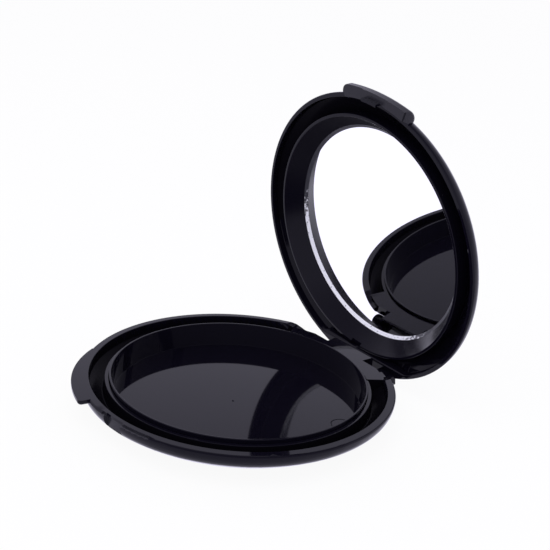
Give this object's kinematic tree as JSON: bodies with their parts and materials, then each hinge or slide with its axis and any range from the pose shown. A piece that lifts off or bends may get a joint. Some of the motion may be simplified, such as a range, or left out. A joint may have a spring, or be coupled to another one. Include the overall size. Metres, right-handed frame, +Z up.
{
  "type": "round palette compact",
  "caption": "Round clamshell palette case with a shallow well in its base, a round mirror in its lid, an inset pin hinge and a thumb-tab snap clasp.",
  "frame": {"origin": "centre of the flat foot, on the table", "axes": "+Z up, +Y from the thumb tab towards the hinge, +X along the hinge axis to the right as seen from the tab"},
  "size_m": [0.074, 0.0849, 0.0751],
  "materials": {
    "black_plastic": "high-gloss moulded black",
    "silvered_glass": "silvered, with a ground edge",
    "adhesive_tape": "matt film",
    "pin_steel": "drawn wire"
  },
  "bodies": {
    "base": {"base_shell": "black_plastic", "well_tray": "black_plastic", "hinge_pin_left": "pin_steel", "hinge_pin_right": "pin_steel"},
    "lid": {"lid_shell": "black_plastic", "mirror_frame": "black_plastic", "mirror_glass": "silvered_glass", "mirror_tape": "adhesive_tape"}
  },
  "joints": [
    {"name": "lid_hinge", "type": "hinge", "parent": "base", "child": "lid", "pos_m": [0, 0.0342, 0.0021], "axis": [1, 0, 0], "range_deg": [-5, 79.7]}
  ]
}
